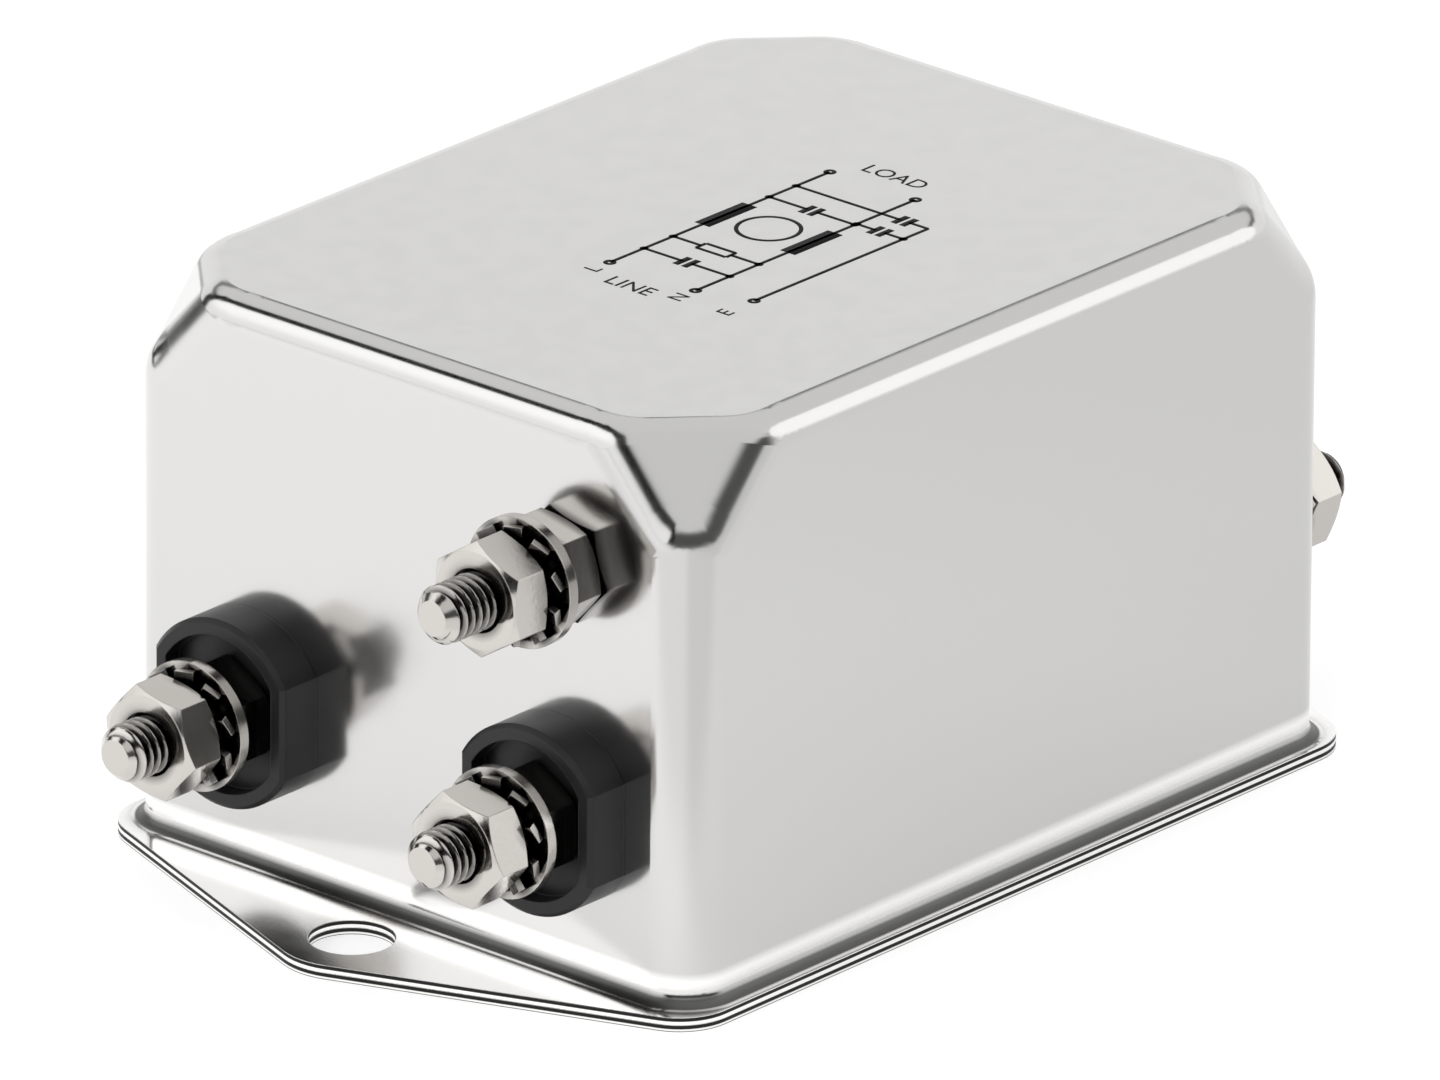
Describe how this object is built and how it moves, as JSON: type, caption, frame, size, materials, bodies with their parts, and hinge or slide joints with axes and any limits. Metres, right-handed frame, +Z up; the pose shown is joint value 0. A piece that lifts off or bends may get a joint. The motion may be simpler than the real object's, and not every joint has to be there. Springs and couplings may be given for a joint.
{
  "type": "emi line filter",
  "caption": "Chassis-mount emi line filter: drawn metal can on a flanged base, with stud terminals for supply, load and earth on its end walls.",
  "frame": {"origin": "middle of the underside of the base plate", "axes": "+X along the can from the line end to the load end, +Y across it, +Z up out of the base"},
  "size_m": [0.0914, 0.0522, 0.0403],
  "materials": {
    "plated_steel": "bright satin plating",
    "nickel_fasteners": "bright nickel plating",
    "black_moulding": "fine matt moulding",
    "insulating_board": "matt",
    "insulating_film": "satin film",
    "tinned_copper": "satin tinning",
    "enamelled_copper": "glossy enamel",
    "ferrite": "coated",
    "yellow_case": "smooth",
    "blue_case": "smooth",
    "resistor_coat": "smooth",
    "resin": "cast"
  },
  "bodies": {
    "root": {"drawn_can": "plated_steel", "base_plate": "plated_steel", "base_insulating_film": "insulating_film", "choke_core": "ferrite", "line_winding": "enamelled_copper", "neutral_winding": "enamelled_copper", "choke_separator": "insulating_board", "line_x_capacitor": "yellow_case", "load_x_capacitor": "yellow_case", "line_y_capacitor": "blue_case", "neutral_y_capacitor": "blue_case", "bleeder_resistor": "resistor_coat", "earth_lead": "tinned_copper", "potting_block": "resin", "clamp_nuts": "nickel_fasteners", "flat_washers": "nickel_fasteners", "tooth_lock_washers": "nickel_fasteners", "terminal_nuts": "nickel_fasteners", "solder_lugs": "tinned_copper", "line_insulator_cup": "black_moulding", "line_inner_insulator": "insulating_board", "line_stud": "nickel_fasteners", "neutral_insulator_cup": "black_moulding", "neutral_inner_insulator": "insulating_board", "neutral_stud": "nickel_fasteners", "load_line_insulator_cup": "black_moulding", "load_line_inner_insulator": "insulating_board", "load_line_stud": "nickel_fasteners", "load_neutral_insulator_cup": "black_moulding", "load_neutral_inner_insulator": "insulating_board", "load_neutral_stud": "nickel_fasteners", "line_side_earth_stud": "nickel_fasteners", "load_side_earth_stud": "nickel_fasteners"}
  },
  "joints": []
}
